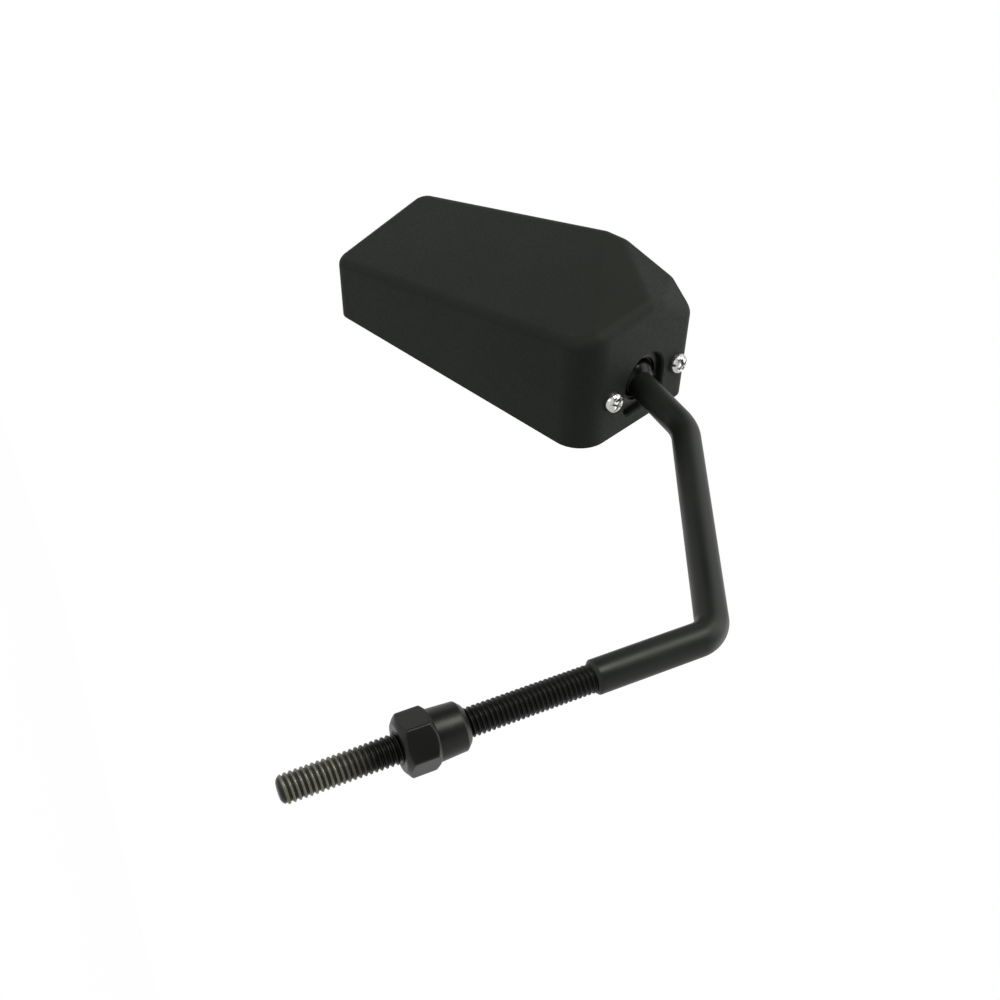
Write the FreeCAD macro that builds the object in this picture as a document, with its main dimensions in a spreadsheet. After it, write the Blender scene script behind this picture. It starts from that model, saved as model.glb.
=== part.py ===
import FreeCAD, Part
import math
import os
import Sketcher
from FreeCAD import Placement, Rotation, Vector

# Motorcycle mirror: a bent stem with a threaded foot, and a wedge-shaped head on a clamped ball.
# Frame: millimetres, Z up along the thread, origin on the thread axis where the lock nut seats,
# X from the stem towards the head, the glass facing -Y.

DOC = FreeCAD.newDocument("mirror")

# Driving sizes: name, value, what it is. Lengths in mm, angles in degrees.
DRIVING = [
    ("rod_dia", "10", "stem bar"),
    ("coated_dia", "8.12", "thread, over its black coat"),
    ("bare_dia", "7.8", "thread, bare steel towards the tip"),
    ("thread_len", "87.5", "shoulder to tip"),
    ("stud_free", "31.5", "lock nut seat to tip"),
    ("shoulder_share", "0.9", "part of the shoulder that is bevelled"),
    ("tip_round", "1.6", "rounding of the tip"),
    ("low_run", "126.7", "tip to the lower bend's corner"),
    ("mid_run", "90", "corner to corner"),
    ("end_run", "34", "upper bend's corner to the ball's centre"),
    ("low_turn", "63.2", "lower bend"),
    ("high_turn", "30.1", "upper bend"),
    ("low_bend_r", "9", "centre line radius"),
    ("high_bend_r", "18", "centre line radius"),
    ("nut_flats", "15", "lock nut across flats"),
    ("nut_hex_len", "9.4", "hexagon"),
    ("nut_len", "18.5", "hexagon and collar"),
    ("collar_big_dia", "14.2", "collar at the hexagon"),
    ("collar_small_dia", "13.4", "collar at its free end"),
    ("collar_edge", "1.6", "chamfer at the free end"),
    ("nut_clear", "0.06", "nut over the thread, each side"),
    ("nut_turn", "-19", "lock nut turned about the thread"),
    ("ball_dia", "16", "swivel ball"),
    ("spigot_dia", "6", "rod end inside the ball"),
    ("spigot_clear", "0.05", "ball over the spigot, each side"),
    ("cup_wall", "1.1", "friction cups"),
    ("cup_clear", "0.1", "between the round faces, each side"),
    ("cup_near", "0.6", "cup's inner edge from the ball's centre"),
    ("cup_far", "3", "cup's outer edge from the ball's centre"),
    ("plate_near", "2", "clamp plate's inner face from the ball's centre"),
    ("plate_thick", "2", "clamp plates"),
    ("plate_high", "21", "clamp plates"),
    ("plate_corner", "4", "clamp plates' corners"),
    ("screw_edge", "3.3", "clamp screw to the clamp plate's end"),
    ("screw_dia", "4", "clamp screws"),
    ("screw_head_dia", "7.8", "pan head"),
    ("screw_head_high", "3.2", "pan head"),
    ("recess_span", "4.4", "cross recess"),
    ("recess_wide", "1.1", "cross recess"),
    ("recess_deep", "1.5", "cross recess"),
    ("hole_clear", "0.2", "screws in their holes, each side"),
    ("hex_flats", "7", "clamp nuts"),
    ("hex_high", "3.2", "clamp nuts"),
    ("screw_past", "1.2", "screw end past its nut"),
    ("washer_dia", "10.4", "end washer"),
    ("washer_thick", "1", "end washer"),
    ("end_screw_dia", "3", "screw in the rod's end"),
    ("end_screw_len", "7", "screw in the rod's end"),
    ("end_head_dia", "5.6", "its head"),
    ("end_head_high", "2", "its head"),
    ("head_len", "136.2", "rim, far end to stem end"),
    ("stem_end_wide", "60.6", "rim at the stem end"),
    ("far_end_wide", "50.8", "rim at the far end"),
    ("wall", "2.5", "housing"),
    ("big_corner", "11.5", "rim corner beside the stem, low side"),
    ("small_corner", "6.5", "the other rim corners"),
    ("ball_depth", "16.5", "rim plane to the ball's centre"),
    ("ball_share", "0.5413", "low wall to the ball's centre, as a share of the rim there"),
    ("low_wall_high", "24.6", "low wall at the far end"),
    ("back_high", "43.7", "back panel, carried to the low wall's stem end"),
    ("back_up", "17", "back panel's rise across the rim"),
    ("kite_high", "44.1", "stem-end facet at the low wall's stem end"),
    ("kite_up", "7.2", "stem-end facet's rise across the rim"),
    ("kite_fall", "3.4", "stem-end facet's slope down towards the stem"),
    ("slope_high", "56.7", "upper corner facet, carried to the low wall's stem end"),
    ("slope_down", "16.7", "upper corner facet's fall across the rim"),
    ("slope_fall", "18.6", "upper corner facet's slope down towards the stem"),
    ("brow_high", "69.2", "brow over the upper corner, carried to the low wall's stem end"),
    ("brow_down", "37.3", "brow's fall across the rim"),
    ("brow_fall", "44", "brow's slope down towards the stem"),
    ("edge_round", "4.2", "housing's back edges"),
    ("ridge_round", "6", "edges between the back's facets"),
    ("slot_wide", "20.6", "stem opening"),
    ("slot_sill", "5.6", "opening's foot above the rim plane"),
    ("slot_corner", "2.5", "opening's lower corners"),
    ("slot_edge", "0.6", "opening's outer edge"),
    ("slot_arch", "17.4", "arch centre above the rim plane"),
    ("lip", "1.4", "rim around the glass"),
    ("seat_deep", "5", "rim plane to the glass seat"),
    ("glass_gap", "0.2", "glass in its rim, each side"),
    ("glass_apex", "0.3", "rim plane to the middle of the glass"),
    ("glass_thick", "2", "mirror glass"),
    ("glass_radius", "1400", "convex glass"),
    ("head_droop", "19.9", "head's long axis below level"),
    ("head_lean", "4.1", "head turned about the thread axis"),
]

# Sizes that follow from the driving ones.
FOLLOWING = [
    ("rod_r", "=rod_dia / 2"),
    ("tip_z", "=-stud_free"),
    ("shoulder_z", "=thread_len - stud_free"),
    ("low_corner_z", "=low_run - stud_free"),
    ("low_cut", "=low_bend_r * tan(low_turn / 2)"),
    ("high_cut", "=high_bend_r * tan(high_turn / 2)"),
    ("end_dir", "=low_turn + high_turn"),
    ("high_corner_x", "=mid_run * sin(low_turn)"),
    ("high_corner_z", "=low_corner_z + mid_run * cos(low_turn)"),
    ("ball_x", "=high_corner_x + end_run * sin(end_dir)"),
    ("ball_z", "=high_corner_z + end_run * cos(end_dir)"),
    ("ball_r", "=ball_dia / 2"),
    ("ball_flat", "=sqrt(ball_r ^ 2 - rod_r ^ 2)"),
    ("rod_end", "=ball_flat + cup_clear"),
    ("low_straight", "=low_run - thread_len - low_cut"),
    ("mid_straight", "=mid_run - low_cut - high_cut"),
    ("end_straight", "=end_run - high_cut - rod_end"),
    ("low_dir", "=90 - low_turn"),
    ("last_dir", "=90 - end_dir"),
    ("cup_in_r", "=ball_r + cup_clear"),
    ("cup_out_r", "=cup_in_r + cup_wall"),
    ("seat_r", "=cup_out_r + cup_clear"),
    ("plate_far", "=plate_near + plate_thick"),
    ("end_x", "=plate_far + wall"),
    ("ball_across", "=ball_share * stem_end_wide"),
    ("screw_len", "=wall + 2 * plate_far + hex_high + screw_past"),
    ("screw_r", "=screw_dia / 2"),
    ("screw_foot", "=-screw_len"),
    ("screw_head_r", "=screw_head_dia / 2"),
    ("screw_brow", "=0.45 * screw_head_high"),
    ("screw_top_r", "=0.62 * screw_head_r"),
    ("recess_out", "=recess_span / 2"),
    ("recess_back", "=-recess_out"),
    ("recess_in", "=recess_wide / 2"),
    ("recess_side", "=-recess_in"),
    ("hole_r", "=screw_r + hole_clear"),
    ("hex_corner", "=hex_flats / sqrt(3)"),
    ("nut_corner", "=nut_flats / sqrt(3)"),
    ("nut_bore_r", "=coated_dia / 2 + nut_clear"),
    ("nut_rim_r", "=0.45 * nut_flats"),
    ("nut_rim_out", "=nut_corner + 1"),
    ("nut_rim_fall", "=(nut_rim_out - nut_rim_r) * tan(30)"),
    ("nut_rim_rise", "=nut_hex_len - nut_rim_fall"),
    ("collar_big_r", "=collar_big_dia / 2"),
    ("collar_small_r", "=collar_small_dia / 2"),
    ("collar_end_r", "=collar_small_r - collar_edge"),
    ("collar_brow", "=nut_len - collar_edge"),
    ("end_screw_r", "=end_screw_dia / 2"),
    ("end_screw_foot", "=-end_screw_len"),
    ("end_head_r", "=end_head_dia / 2"),
    ("washer_r", "=washer_dia / 2"),
    ("tapped_r", "=end_screw_r + spigot_clear"),
    ("tapped_deep", "=end_screw_len - washer_thick + 0.5"),
    ("plate_right", "=min(stem_end_wide - ball_across - small_corner; ball_across - big_corner)"),
    ("plate_left", "=-plate_right"),
    ("screw_half", "=plate_right - screw_edge"),
    ("plate_top", "=plate_high / 2"),
    ("plate_foot", "=-plate_top"),
    ("rim_slant", "=(stem_end_wide - far_end_wide) / head_len"),
    ("slant_long", "=sqrt(1 + rim_slant ^ 2)"),
    ("glass_inset", "=lip + glass_gap"),
    ("glass_back_radius", "=glass_radius - glass_thick"),
    ("slot_r", "=slot_wide / 2"),
    ("slot_left", "=-slot_r"),
    ("slot_top", "=slot_arch + slot_r"),
    ("glass_mid_x", "=end_x - head_len / 2"),
    ("glass_mid_y", "=(stem_end_wide + far_end_wide) / 4 - ball_across"),
    ("bare_r", "=bare_dia / 2"),
    ("coated_r", "=coated_dia / 2"),
    ("spigot_r", "=spigot_dia / 2"),
    ("screw_half_back", "=-screw_half"),
    ("hex_bore_r", "=screw_r + spigot_clear"),
]

# The corners of the two hexagons.
for tag, flats in [("nut", "nut_flats"), ("hex", "hex_flats")]:
    FOLLOWING += [
        (tag + "_corner_back", "=-%s_corner" % tag),
        (tag + "_half_corner", "=%s_corner / 2" % tag),
        (tag + "_half_corner_back", "=-%s_half_corner" % tag),
        (tag + "_half_flat", "=%s / 2" % flats),
        (tag + "_half_flat_back", "=-%s / 2" % flats),
    ]

# The rim outline, and the same drawn in for the hollow, the glass seat and the glass.
OUTLINES = [("rim", "0"), ("inside", "wall"), ("seat", "lip"), ("glass", "glass_inset")]
for tag, inset in OUTLINES:
    FOLLOWING += [
        (tag + "_left", "=end_x - head_len + " + inset),
        (tag + "_right", "=end_x - " + inset),
        (tag + "_low", "=%s - ball_across" % inset),
        (tag + "_high_left", "=far_end_wide - ball_across + %s * (rim_slant - slant_long)" % inset),
        (tag + "_high_right", "=stem_end_wide - ball_across - %s * (rim_slant + slant_long)" % inset),
        (tag + "_big", "=big_corner - " + inset),
        (tag + "_small", "=small_corner - " + inset),
    ]


def fill_sheet():
    """The sheet of sizes; every other object reads from it."""
    sheet = DOC.addObject("Spreadsheet::Sheet", "sizes")
    row = 1
    for name, value, note in DRIVING:
        sheet.set("A%d" % row, note)
        sheet.set("B%d" % row, value)
        sheet.setAlias("B%d" % row, name)
        row += 1
    for name, formula in FOLLOWING:
        sheet.set("B%d" % row, formula)
        sheet.setAlias("B%d" % row, name)
        row += 1
    DOC.recompute()
    return sheet


SHEET = fill_sheet()


def val(name):
    """A size from the sheet as a plain number."""
    got = SHEET.get(name)
    return float(getattr(got, "Value", got))


def bind(thing, prop, formula):
    """Ties a property to the sheet."""
    thing.setExpression(prop, formula)


def new_body(name):
    return DOC.addObject("PartDesign::Body", name)


def sketch_on(body, name, role, offset=Placement()):
    """A sketch on one of the body's own planes."""
    plane = next(f for f in body.Origin.OriginFeatures if f.Role == role)
    sketch = body.newObject("Sketcher::SketchObject", name)
    sketch.AttachmentSupport = [(plane, "")]
    sketch.MapMode = "FlatFace"
    sketch.AttachmentOffset = offset
    return sketch


def hold(sketch, kind, geo, point, name):
    """Sets a point's distance from the sketch origin to a size from the sheet."""
    at = sketch.addConstraint(Sketcher.Constraint(kind, -1, 1, geo, point, val(name)))
    bind(sketch, "Constraints[%d]" % at, "sizes." + name)


def place_point(sketch, geo, point, x, y):
    """Holds a point at two named sizes; 0 puts it on the axis."""
    if x == 0:
        sketch.addConstraint(Sketcher.Constraint("PointOnObject", geo, point, -2))
    else:
        hold(sketch, "DistanceX", geo, point, x)
    if y == 0:
        sketch.addConstraint(Sketcher.Constraint("PointOnObject", geo, point, -1))
    else:
        hold(sketch, "DistanceY", geo, point, y)


def number(name):
    return 0.0 if name == 0 else val(name)


def polygon(sketch, corners):
    """A closed outline through corners, each given by two names of sizes."""
    spots = [Vector(number(x), number(y), 0) for x, y in corners]
    count = len(spots)
    for i in range(count):
        sketch.addGeometry(Part.LineSegment(spots[i], spots[(i + 1) % count]), False)
    for i in range(count):
        sketch.addConstraint(Sketcher.Constraint("Coincident", i, 2, (i + 1) % count, 1))
    for i, (x, y) in enumerate(corners):
        place_point(sketch, i, 1, x, y)
    return sketch


def circle(sketch, radius, x=0, y=0):
    """A circle on the sketch's origin, or at named distances along its axes."""
    spot = Vector(number(x), number(y), 0)
    geo = sketch.addGeometry(Part.Circle(spot, Vector(0, 0, 1), val(radius)), False)
    if x == 0 and y == 0:
        sketch.addConstraint(Sketcher.Constraint("Coincident", geo, 3, -1, 1))
    else:
        place_point(sketch, geo, 3, x, y)
    at = sketch.addConstraint(Sketcher.Constraint("Radius", geo, val(radius)))
    bind(sketch, "Constraints[%d]" % at, "sizes." + radius)
    return sketch


def pad(body, name, sketch, length):
    """Raises a sketch by a length given as a formula."""
    feature = body.newObject("PartDesign::Pad", name)
    feature.Profile = sketch
    bind(feature, "Length", length)
    DOC.recompute()
    return feature


def pocket(body, name, sketch, length=None, upward=False):
    """Cuts a sketch into the body, by a length or right through, and checks that it cut."""
    before = body.Shape.Volume
    feature = body.newObject("PartDesign::Pocket", name)
    feature.Profile = sketch
    feature.Reversed = upward
    if length:
        bind(feature, "Length", length)
    else:
        feature.Type = "ThroughAll"
    DOC.recompute()
    if not body.Shape.Volume < before - 1e-3:
        raise RuntimeError(name + " cut nothing")
    return feature


def revolve(body, name, sketch):
    """Turns a sketch about its own upright axis."""
    feature = body.newObject("PartDesign::Revolution", name)
    feature.Profile = sketch
    feature.ReferenceAxis = (sketch, ["V_Axis"])
    DOC.recompute()
    return feature


def groove(body, name, sketch):
    """Turns a sketch about its upright axis and takes it away."""
    before = body.Shape.Volume
    feature = body.newObject("PartDesign::Groove", name)
    feature.Profile = sketch
    feature.ReferenceAxis = (sketch, ["V_Axis"])
    DOC.recompute()
    if not body.Shape.Volume < before - 1e-3:
        raise RuntimeError(name + " cut nothing")
    return feature


def edges_where(feature, test):
    """Names of a feature's edges that pass a test."""
    return ["Edge%d" % (i + 1) for i, edge in enumerate(feature.Shape.Edges) if test(edge)]


def soften(body, name, kind, base, edges, size):
    """Rounds (Fillet) or bevels (Chamfer) edges by a size given as a formula."""
    feature = body.newObject("PartDesign::" + kind, name)
    feature.Base = (base, edges)
    bind(feature, "Radius" if kind == "Fillet" else "Size", size)
    DOC.recompute()
    return feature


def runs_along(edge, direction):
    """True for a straight edge in this direction, either way."""
    if len(edge.Vertexes) != 2:
        return False
    span = edge.Vertexes[1].Point - edge.Vertexes[0].Point
    if span.Length < 1e-6 or abs(span.Length - edge.Length) > 1e-6:
        return False
    return abs(span.dot(direction)) > 0.999 * span.Length


def upright(edge):
    """True for a straight edge along z."""
    return runs_along(edge, Vector(0, 0, 1))


def level_ring(edge, z, radius):
    """True for a circle of this radius around the z axis at this height."""
    if edge.Curve.TypeId != "Part::GeomCircle":
        return False
    centre = edge.Curve.Center
    off_axis = (centre.x ** 2 + centre.y ** 2) ** 0.5
    return off_axis < 1e-3 and abs(centre.z - z) < 1e-3 and abs(edge.Curve.Radius - radius) < 1e-3


def primitive(kind, name, sizes, placement=Placement()):
    """A plain solid whose sizes are formulas."""
    solid = DOC.addObject("Part::" + kind, name)
    for prop, formula in sizes.items():
        bind(solid, prop, formula)
    solid.Placement = placement
    return solid


def boolean(kind, name, base, tool):
    """Cut or Common of two objects."""
    joined = DOC.addObject("Part::" + kind, name)
    joined.Base = base
    joined.Tool = tool
    DOC.recompute()
    return joined


def pair(name, solid):
    """A solid and its mirror image on the other side of the clamp, as one group."""
    other = DOC.addObject("Part::Mirroring", name + "_other")
    other.Source = solid
    other.Base = Vector(0, 0, 0)
    other.Normal = Vector(1, 0, 0)
    group = DOC.addObject("Part::Compound", name)
    group.Links = [solid, other]
    DOC.recompute()
    return group


def ball_spot():
    return Vector(val("ball_x"), 0, val("ball_z"))


def rod_end_frame(along=0.0):
    """Frame on the rod's last run, z pointing into the head, its origin along past the ball's centre."""
    turn = Rotation(Vector(0, 1, 0), val("end_dir"))
    return Placement(ball_spot() + turn.multVec(Vector(0, 0, along)), turn)


def head_frame():
    """Frame of the head: x towards the stem, y across, z from the glass to the back.

    Its origin lies on the rim plane, below the ball's centre.
    """
    level = Rotation(Vector(-1, 0, 0), Vector(0, 0, 1), Vector(0, 1, 0), "XYZ")
    droop = Rotation(Vector(0, 1, 0), val("head_droop"))
    lean = Rotation(Vector(0, 0, 1), -val("head_lean"))
    turn = lean * droop * level
    return Placement(ball_spot() - turn.multVec(Vector(0, 0, val("ball_depth"))), turn)


def clamp_frame():
    """Frame of the clamp in the head: z out of the end wall, x across, y towards the back."""
    out = Rotation(Vector(1, 1, 1), 120)
    return head_frame() * Placement(Vector(0, 0, val("ball_depth")), out)


def draw_stem_path(sketch):
    """The centre line from the shoulder to the ball: three straights and two bends."""
    low = val("low_bend_r")
    high = val("high_bend_r")
    rise = Rotation(Vector(0, 0, 1), -val("low_turn"))
    last = Rotation(Vector(0, 0, 1), -val("end_dir"))
    ahead = Vector(0, 1, 0)
    aside = Vector(1, 0, 0)
    start = Vector(0, val("shoulder_z"), 0)
    bend_on = start + ahead * val("low_straight")
    low_hub = bend_on + aside * low
    bend_off = low_hub - rise.multVec(aside) * low
    high_on = bend_off + rise.multVec(ahead) * val("mid_straight")
    high_hub = high_on + rise.multVec(aside) * high
    high_off = high_hub - last.multVec(aside) * high
    finish = high_off + last.multVec(ahead) * val("end_straight")
    low_stop = math.pi - math.radians(val("low_turn"))
    high_stop = math.pi - math.radians(val("end_dir"))
    up = Vector(0, 0, 1)
    sketch.addGeometry(Part.LineSegment(start, bend_on), False)
    sketch.addGeometry(Part.ArcOfCircle(Part.Circle(low_hub, up, low), low_stop, math.pi), False)
    sketch.addGeometry(Part.LineSegment(bend_off, high_on), False)
    sketch.addGeometry(Part.ArcOfCircle(Part.Circle(high_hub, up, high), high_stop, low_stop), False)
    sketch.addGeometry(Part.LineSegment(high_off, finish), False)
    sketch.addConstraint(Sketcher.Constraint("PointOnObject", 0, 1, -2))
    hold(sketch, "DistanceY", 0, 1, "shoulder_z")
    sketch.addConstraint(Sketcher.Constraint("Vertical", 0))
    for pairing in [(0, 2, 1, 2), (1, 1, 2, 1), (2, 2, 3, 2), (3, 1, 4, 1)]:
        sketch.addConstraint(Sketcher.Constraint("Tangent", *pairing))
    for kind, geo, name in [
        ("Distance", 0, "low_straight"),
        ("Distance", 2, "mid_straight"),
        ("Distance", 4, "end_straight"),
        ("Radius", 1, "low_bend_r"),
        ("Radius", 3, "high_bend_r"),
    ]:
        at = sketch.addConstraint(Sketcher.Constraint(kind, geo, val(name)))
        bind(sketch, "Constraints[%d]" % at, "sizes." + name)
    for geo, name in [(2, "low_dir"), (4, "last_dir")]:
        at = sketch.addConstraint(Sketcher.Constraint("Angle", geo, math.radians(val(name))))
        bind(sketch, "Constraints[%d]" % at, "sizes.%s * 1 deg" % name)
    return sketch


def make_stem():
    """The bent rod: worn tip, thread, shoulder, two bends, and the spigot that carries the ball."""
    body = new_body("stem")
    tip = circle(sketch_on(body, "tip_circle", "XY_Plane"), "bare_r")
    bind(tip, "AttachmentOffset.Base.z", "sizes.tip_z")
    pad(body, "bare_thread", tip, "sizes.stud_free")
    coat = circle(sketch_on(body, "coat_circle", "XY_Plane"), "coated_r")
    pad(body, "coated_thread", coat, "sizes.shoulder_z")
    path = draw_stem_path(sketch_on(body, "stem_path", "XZ_Plane"))
    rod = circle(sketch_on(body, "rod_circle", "XY_Plane"), "rod_r")
    bind(rod, "AttachmentOffset.Base.z", "sizes.shoulder_z")
    DOC.recompute()
    pipe = body.newObject("PartDesign::AdditivePipe", "bent_rod")
    pipe.Profile = rod
    pipe.Spine = (path, ["Edge1", "Edge2", "Edge3", "Edge4", "Edge5"])
    DOC.recompute()
    spigot = sketch_on(body, "spigot_circle", "XY_Plane", rod_end_frame(-val("rod_end")))
    pad(body, "spigot", circle(spigot, "spigot_r"), "2 * sizes.rod_end")
    tapped = sketch_on(body, "tapped_circle", "XY_Plane", rod_end_frame(val("rod_end")))
    circle(tapped, "tapped_r")
    drilled = pocket(body, "tapped_hole", tapped, "sizes.tapped_deep")
    shoulder = edges_where(drilled, lambda e: level_ring(e, val("shoulder_z"), val("rod_r")))
    bevel = soften(body, "shoulder_bevel", "Chamfer", drilled, shoulder,
                   "sizes.shoulder_share * (sizes.rod_r - sizes.coated_r)")
    tip_edge = edges_where(bevel, lambda e: level_ring(e, val("tip_z"), val("bare_r")))
    soften(body, "tip_rounding", "Fillet", bevel, tip_edge, "sizes.tip_round")
    return body


def make_lock_nut():
    """Hexagon towards the tip, tapered collar towards the rod."""
    body = new_body("lock_nut")
    hexagon = polygon(sketch_on(body, "hexagon", "XY_Plane"), hexagon_corners("nut"))
    pad(body, "hex_block", hexagon, "sizes.nut_hex_len")
    rims = sketch_on(body, "hex_rims", "XZ_Plane")
    polygon(rims, [("nut_rim_r", 0), ("nut_rim_out", 0), ("nut_rim_out", "nut_rim_fall")])
    groove(body, "hex_rim_foot", rims)
    upper = sketch_on(body, "hex_rims_upper", "XZ_Plane")
    polygon(upper, [
        ("nut_rim_r", "nut_hex_len"),
        ("nut_rim_out", "nut_rim_rise"),
        ("nut_rim_out", "nut_hex_len"),
    ])
    groove(body, "hex_rim_head", upper)
    collar = sketch_on(body, "collar_profile", "XZ_Plane")
    polygon(collar, [
        (0, "nut_hex_len"),
        ("collar_big_r", "nut_hex_len"),
        ("collar_small_r", "collar_brow"),
        ("collar_end_r", "nut_len"),
        (0, "nut_len"),
    ])
    revolve(body, "collar", collar)
    bore = circle(sketch_on(body, "bore_circle", "XY_Plane"), "nut_bore_r")
    pocket(body, "bore", bore, upward=True)
    return body


def hexagon_corners(tag):
    """Names of a hexagon's corners, flats up and down the sketch's y axis."""
    return [
        (tag + "_corner", 0),
        (tag + "_half_corner", tag + "_half_flat"),
        (tag + "_half_corner_back", tag + "_half_flat"),
        (tag + "_corner_back", 0),
        (tag + "_half_corner_back", tag + "_half_flat_back"),
        (tag + "_half_corner", tag + "_half_flat_back"),
    ]


def make_swivel_ball():
    """Ball with a flat at each end and a bore for the spigot, its axis along z."""
    sphere = primitive("Sphere", "ball_sphere", {"Radius": "sizes.ball_r"})
    slab = primitive("Cylinder", "ball_slab", {"Radius": "sizes.ball_dia", "Height": "2 * sizes.ball_flat"},
                     Placement(Vector(0, 0, -val("ball_flat")), Rotation()))
    bind(slab, "Placement.Base.z", "-sizes.ball_flat")
    flats = boolean("Common", "ball_with_flats", sphere, slab)
    drill = primitive("Cylinder", "ball_drill", {"Radius": "sizes.spigot_r + sizes.spigot_clear",
                                                 "Height": "2 * sizes.ball_dia"})
    bind(drill, "Placement.Base.z", "-sizes.ball_dia")
    return boolean("Cut", "swivel_ball", flats, drill)


def make_socket_cups():
    """Two rings of a round shell, one on each side of the ball."""
    outer = primitive("Sphere", "cup_outside", {"Radius": "sizes.cup_out_r"})
    inner = primitive("Sphere", "cup_inside", {"Radius": "sizes.cup_in_r"})
    shell = boolean("Cut", "cup_shell", outer, inner)
    cups = []
    for side, foot in [("outer", "sizes.cup_near"), ("inner", "-sizes.cup_far")]:
        band = primitive("Cylinder", "cup_band_" + side,
                         {"Radius": "sizes.ball_dia", "Height": "sizes.cup_far - sizes.cup_near"})
        bind(band, "Placement.Base.z", foot)
        cups.append(boolean("Common", "cup_" + side, shell, band))
    group = DOC.addObject("Part::Compound", "socket_cups")
    group.Links = cups
    DOC.recompute()
    return group


def make_clamp_plate(name, foot):
    """Plate with two screw holes and a round seat for the cups; foot is its lower face along the clamp."""
    body = new_body(name + "_blank")
    outline = sketch_on(body, name + "_outline", "XY_Plane")
    bind(outline, "AttachmentOffset.Base.z", foot)
    polygon(outline, [
        ("plate_left", "plate_foot"),
        ("plate_right", "plate_foot"),
        ("plate_right", "plate_top"),
        ("plate_left", "plate_top"),
    ])
    plate = pad(body, name + "_plate", outline, "sizes.plate_thick")
    soften(body, name + "_corners", "Fillet", plate, edges_where(plate, upright), "sizes.plate_corner")
    holes = sketch_on(body, name + "_hole_circles", "XY_Plane")
    circle(holes, "hole_r", "screw_half")
    circle(holes, "hole_r", "screw_half_back")
    bind(holes, "AttachmentOffset.Base.z", foot)
    pocket(body, name + "_holes", holes, upward=True)
    seat = primitive("Sphere", name + "_seat", {"Radius": "sizes.seat_r"})
    return boolean("Cut", name, body, seat)


def make_clamp_screws():
    """Two pan-head screws with a cross recess, heads on the end wall."""
    body = new_body("clamp_screw")
    profile = sketch_on(body, "screw_profile", "XZ_Plane")
    polygon(profile, [
        (0, "screw_foot"),
        ("screw_r", "screw_foot"),
        ("screw_r", 0),
        ("screw_head_r", 0),
        ("screw_head_r", "screw_brow"),
        ("screw_top_r", "screw_head_high"),
        (0, "screw_head_high"),
    ])
    turned = revolve(body, "screw_turned", profile)
    recess = sketch_on(body, "screw_recess", "XY_Plane")
    bind(recess, "AttachmentOffset.Base.z", "sizes.screw_head_high")
    out, back, wide, side = "recess_out", "recess_back", "recess_in", "recess_side"
    polygon(recess, [
        (out, side), (out, wide), (wide, wide), (wide, out), (side, out), (side, wide),
        (back, wide), (back, side), (side, side), (side, back), (wide, back), (wide, side),
    ])
    pocket(body, "screw_cross", recess, "sizes.recess_deep")
    bind(body, "Placement.Base.x", "sizes.screw_half")
    bind(body, "Placement.Base.z", "sizes.end_x")
    return pair("clamp_screws", body)


def make_clamp_nuts():
    """Two hexagon nuts behind the rear plate."""
    body = new_body("clamp_nut")
    hexagon = polygon(sketch_on(body, "clamp_nut_hexagon", "XY_Plane"), hexagon_corners("hex"))
    pad(body, "clamp_nut_block", hexagon, "sizes.hex_high")
    bore = circle(sketch_on(body, "clamp_nut_circle", "XY_Plane"), "hex_bore_r")
    pocket(body, "clamp_nut_bore", bore, upward=True)
    bind(body, "Placement.Base.x", "sizes.screw_half")
    bind(body, "Placement.Base.z", "-sizes.plate_far - sizes.hex_high")
    return pair("clamp_nuts", body)


def make_end_washer():
    """Washer on the spigot's end, its axis along z."""
    body = new_body("end_washer")
    rings = sketch_on(body, "washer_rings", "XY_Plane")
    circle(rings, "washer_r")
    circle(rings, "tapped_r")
    pad(body, "washer", rings, "sizes.washer_thick")
    return body


def make_end_screw():
    """Screw that holds the washer on the spigot, head up."""
    body = new_body("end_screw")
    profile = sketch_on(body, "end_screw_profile", "XZ_Plane")
    polygon(profile, [
        (0, "end_screw_foot"),
        ("end_screw_r", "end_screw_foot"),
        ("end_screw_r", 0),
        ("end_head_r", 0),
        ("end_head_r", "end_head_high"),
        (0, "end_head_high"),
    ])
    revolve(body, "end_screw_turned", profile)
    return body


def raised_outline(body, tag, foot, length):
    """The rim outline of a tag as a block with rounded upright edges."""
    outline = sketch_on(body, tag + "_outline_" + body.Name, "XY_Plane")
    bind(outline, "AttachmentOffset.Base.z", foot)
    polygon(outline, [
        (tag + "_left", tag + "_low"),
        (tag + "_right", tag + "_low"),
        (tag + "_right", tag + "_high_right"),
        (tag + "_left", tag + "_high_left"),
    ])
    block = pad(body, body.Name + "_block", outline, length)

    def by_the_stem(edge):
        spot = edge.Vertexes[0].Point
        return abs(spot.x - val(tag + "_right")) < 0.01 and abs(spot.y - val(tag + "_low")) < 0.01

    big = edges_where(block, lambda e: upright(e) and by_the_stem(e))
    step = soften(body, body.Name + "_big_corner", "Fillet", block, big, "sizes.%s_big" % tag)
    small = edges_where(step, lambda e: upright(e) and is_corner(e, tag))
    return soften(body, body.Name + "_small_corners", "Fillet", step, small, "sizes.%s_small" % tag)


def is_corner(edge, tag):
    """True for an upright edge on one of the outline's three small corners."""
    spot = edge.Vertexes[0].Point
    for x, y in [("left", "low"), ("left", "high_left"), ("right", "high_right")]:
        off_x = abs(spot.x - val(tag + "_" + x))
        off_y = abs(spot.y - val(tag + "_" + y))
        if off_x < 0.01 and off_y < 0.01:
            return True
    return False


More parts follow.
